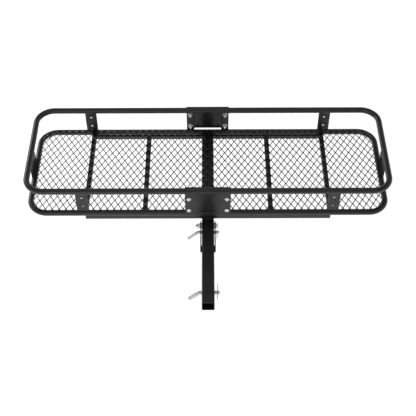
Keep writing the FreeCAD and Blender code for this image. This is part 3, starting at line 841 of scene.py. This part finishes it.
def build_pivot_fasteners():
    """The pivot bolt, its locking nut and its washers."""
    low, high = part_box("pivot_bolt")
    nut_low, nut_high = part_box("pivot_nut")
    washer_low, washer_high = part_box("pivot_washers")
    stem_r = PIVOT_STEM_R
    shape = Shape()
    start = Vector((washer_high.x, pivot.y, pivot.z))
    hex_head(shape, start, X, PIVOT_FLATS, high.x - washer_high.x, both=False)
    smooth_end = nut_high.x + 4 * MM
    lathe(shape, start, -X, [(stem_r, 0), (stem_r, start.x - smooth_end)], 32)
    thread(shape, Vector((smooth_end, pivot.y, pivot.z)), -X, stem_r, smooth_end - low.x,
           1.75 * MM)
    add_piece("pivot_hex_bolt", shape.mesh("pivot_bolt"), "shank", "zinc", "pivot_bolt")
    shape = Shape()
    seat = Vector((nut_high.x, pivot.y, pivot.z))
    hex_head(shape, seat, -X, PIVOT_FLATS, 8.2 * MM, stem_r - 0.3 * MM)
    height = nut_high.x - nut_low.x
    lathe(shape, seat, -X, [(stem_r - 0.2 * MM, 7.6 * MM), (8.3 * MM, 7.6 * MM),
                            (8.3 * MM, height - 0.8 * MM), (7.6 * MM, height),
                            (stem_r - 0.2 * MM, height)], 40, closed=True)
    add_piece("pivot_lock_nut", shape.mesh("pivot_nut"), "shank", "zinc", "pivot_nut")
    shape = Shape()
    outer, bore, thick, edge = 12 * MM, stem_r + 0.08 * MM, 2.5 * MM, 0.4 * MM
    for seat_x, outward in ((washer_low.x + thick, -X), (washer_high.x - thick, X)):
        lathe(shape, Vector((seat_x, pivot.y, pivot.z)), outward,
              [(bore, 0), (outer - edge, 0), (outer, edge), (outer, thick - edge),
               (outer - edge, thick), (bore, thick)], 40, closed=True)
    add_piece("pivot_flat_washers", shape.mesh("pivot_washers"), "shank", "zinc",
              "pivot_washers")


# ---------------------------------------------------------------- pins and clips

HANDLE_BEND = 16 * MM
HANDLE_LENGTH = 50 * MM
BEND_START = {"lock_pin": -36 * MM, "hitch_pin": -30 * MM}


def build_pin(node):
    """A bent pin with a chamfered tip, cross-drilled for its clip."""
    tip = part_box(node)[1].x
    y, z, radius = pin_axis(node)
    start = Vector((BEND_START[node], y, z))
    chamfer = radius * 0.35
    bend = arc(start - Z * HANDLE_BEND, start, -Y, math.pi / 4, 12)
    slope = (-X - Z).normalized()
    end = bend[-1] + slope * HANDLE_LENGTH
    path = [Vector((tip, y, z)), Vector((tip - chamfer, y, z)),
            Vector((tip - chamfer * 2, y, z))]
    path += bend + [end - slope * radius * 0.3, end - slope * radius * 0.1, end]
    radii = [radius - chamfer] + [radius] * (len(path) - 3) + [radius * 0.93, radius * 0.72]
    shape = Shape()
    rod(shape, path, radii, 40)
    clip = middle(node.replace("pin", "clip"))
    wire_r = clip_wire(node)
    mesh = drill(shape.mesh(node), Vector((clip.x, y, z)), Z, wire_r + 0.35 * MM, radius * 4)
    add_piece(node + "_bent_rod", mesh, node, "pin_steel", node)


def clip_wire(pin):
    low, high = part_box(pin.replace("pin", "clip"))
    return (high.x - low.x) / 2


CLIP_LOOP, CLIP_DROP, CLIP_LEAN = 9 * MM, 20 * MM, math.radians(30)
CLIP_BOW, CLIP_FLARE, CLIP_STRAIGHT, CLIP_GAP = 12 * MM, 15 * MM, 4 * MM, 0.6 * MM


def build_clip(pin):
    """A spring clip bent from one wire: straight leg, loop, and a leg bowed round the pin."""
    node = pin.replace("pin", "clip")
    low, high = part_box(node)
    y, z, pin_r = pin_axis(pin)
    wire = clip_wire(pin)
    x = (low.x + high.x) / 2
    clear = pin_r + wire + CLIP_GAP
    rise, shift = math.sin(CLIP_LEAN), math.cos(CLIP_LEAN)

    def at(across, up):
        return Vector((x, y - across, z + up))

    loop = arc(at(CLIP_LOOP, -CLIP_DROP), at(0, -CLIP_DROP), -X, math.pi + CLIP_LEAN, 28)
    loop_across, loop_up = CLIP_LOOP * (1 + shift), CLIP_LOOP * rise - CLIP_DROP
    run = (loop_across - clear - CLIP_BOW * (1 - shift)) / rise
    bow_start = (loop_across - run * rise, loop_up + run * shift)
    bow_centre = (clear + CLIP_BOW, bow_start[1] + CLIP_BOW * rise)
    bow = arc(at(*bow_centre), at(*bow_start), -X, -CLIP_LEAN, 8)
    flare = arc(at(clear + CLIP_FLARE, CLIP_STRAIGHT), at(clear, CLIP_STRAIGHT), X,
                CLIP_LEAN, 8)
    path = [Vector((x, y, high.z)), Vector((x, y, high.z - wire * 0.6))]
    path += loop + bow + flare
    path.append(flare[-1] + (flare[-1] - flare[-2]).normalized() * wire * 0.6)
    radii = [wire * 0.6] + [wire] * (len(path) - 2) + [wire * 0.6]
    shape = Shape()
    rod(shape, path, radii, 20)
    add_piece(node + "_wire", shape.mesh(node), node, "spring_wire", node)


# ---------------------------------------------------------------- studio

FLOOR_DROP = 0.45


def build_studio():
    """A pale floor well below the carrier, as if a receiver holds it up, and soft light."""
    mesh = bpy.data.meshes.new("studio_floor")
    work = bmesh.new()
    bmesh.ops.create_grid(work, x_segments=8, y_segments=8, size=30)
    work.to_mesh(mesh)
    work.free()
    floor = bpy.data.objects.new("studio_floor", mesh)
    floor.location = (0, BASKET_Y, CAD_BOX[0].z - FLOOR_DROP)
    mesh.materials.append(studio_floor())
    bpy.context.scene.collection.objects.link(floor)

    world = bpy.data.worlds.new("studio")
    world.use_nodes = True
    nodes, links = world.node_tree.nodes, world.node_tree.links
    background = nodes["Background"]
    direction = nodes.new("ShaderNodeSeparateXYZ")
    links.new(nodes.new("ShaderNodeTexCoord").outputs["Generated"], direction.inputs["Vector"])
    sky = nodes.new("ShaderNodeValToRGB")
    horizon, zenith = sky.color_ramp.elements
    horizon.position = 0.05
    horizon.color = (1, 1, 1, 1)
    zenith.position = 0.75
    zenith.color = (0.12, 0.12, 0.12, 1)
    links.new(direction.outputs["Z"], sky.inputs["Fac"])
    links.new(sky.outputs["Color"], background.inputs["Color"])
    background.inputs["Strength"].default_value = 1.0
    bpy.context.scene.world = world

    for name, place, size, power in (
            ("overhead", (0.0, 0.4, 3.2), 3.0, 20.0),
            ("front_fill", (-1.2, -3.0, 1.4), 2.0, 14.0),
            ("rear_left", (-2.6, 2.6, 1.4), 1.6, 26.0)):
        data = bpy.data.lights.new(name, "AREA")
        data.shape, data.size, data.energy = "SQUARE", size, power
        lamp = bpy.data.objects.new(name, data)
        lamp.location = place
        aim = Vector((0, BASKET_Y, LOWER_Z)) - lamp.location
        lamp.rotation_euler = aim.to_track_quat("-Z", "Y").to_euler()
        bpy.context.scene.collection.objects.link(lamp)


def build_camera():
    """The view from in front and above."""
    data = bpy.data.cameras.new("view")
    data.sensor_width = 36.0
    data.lens = 77.23
    camera = bpy.data.objects.new("view", data)
    tilt, roll = math.radians(41.117), -0.0031
    turn = Matrix.Rotation(tilt, 4, "X") @ Matrix.Rotation(roll, 4, "Z")
    camera.matrix_world = Matrix.Translation((0.0004, -2.0735, 2.8862)) @ turn
    bpy.context.scene.collection.objects.link(camera)
    bpy.context.scene.camera = camera
    bpy.context.scene.view_settings.view_transform = "Standard"


# ---------------------------------------------------------------- assembly

def dress_cad_nodes():
    """Every piece kept from the CAD model gets the finish of its slot; the hinge plates and shims
    also get softened edges.
    """
    slots = {row["node"]: row["material_slot"] for row in frame["record"]["subparts"]}
    for name, node in frame["nodes"].items():
        finish = FINISH[slots[name]]
        for place in node.material_slots:
            place.material = finish
        if not node.material_slots:
            node.data.materials.append(finish)
    for name in ("hinge_plate_left", "hinge_plate_right", "hinge_shims"):
        soften(frame["nodes"][name], 0.5 * MM)


dress_cad_nodes()
build_rails()
for side_name, side in SIDES:
    build_mesh_floor(side_name, side)
build_mesh_welds()
build_cross_members()
build_under_bars()
build_plates()
build_end_angles()
for end_name, end in ENDS:
    build_plate_fasteners(end_name, end)
build_bars()
build_hinge_welds()
build_pivot_fasteners()
for pin in ("lock_pin", "hitch_pin"):
    build_pin(pin)
    build_clip(pin)
build_studio()
build_camera()
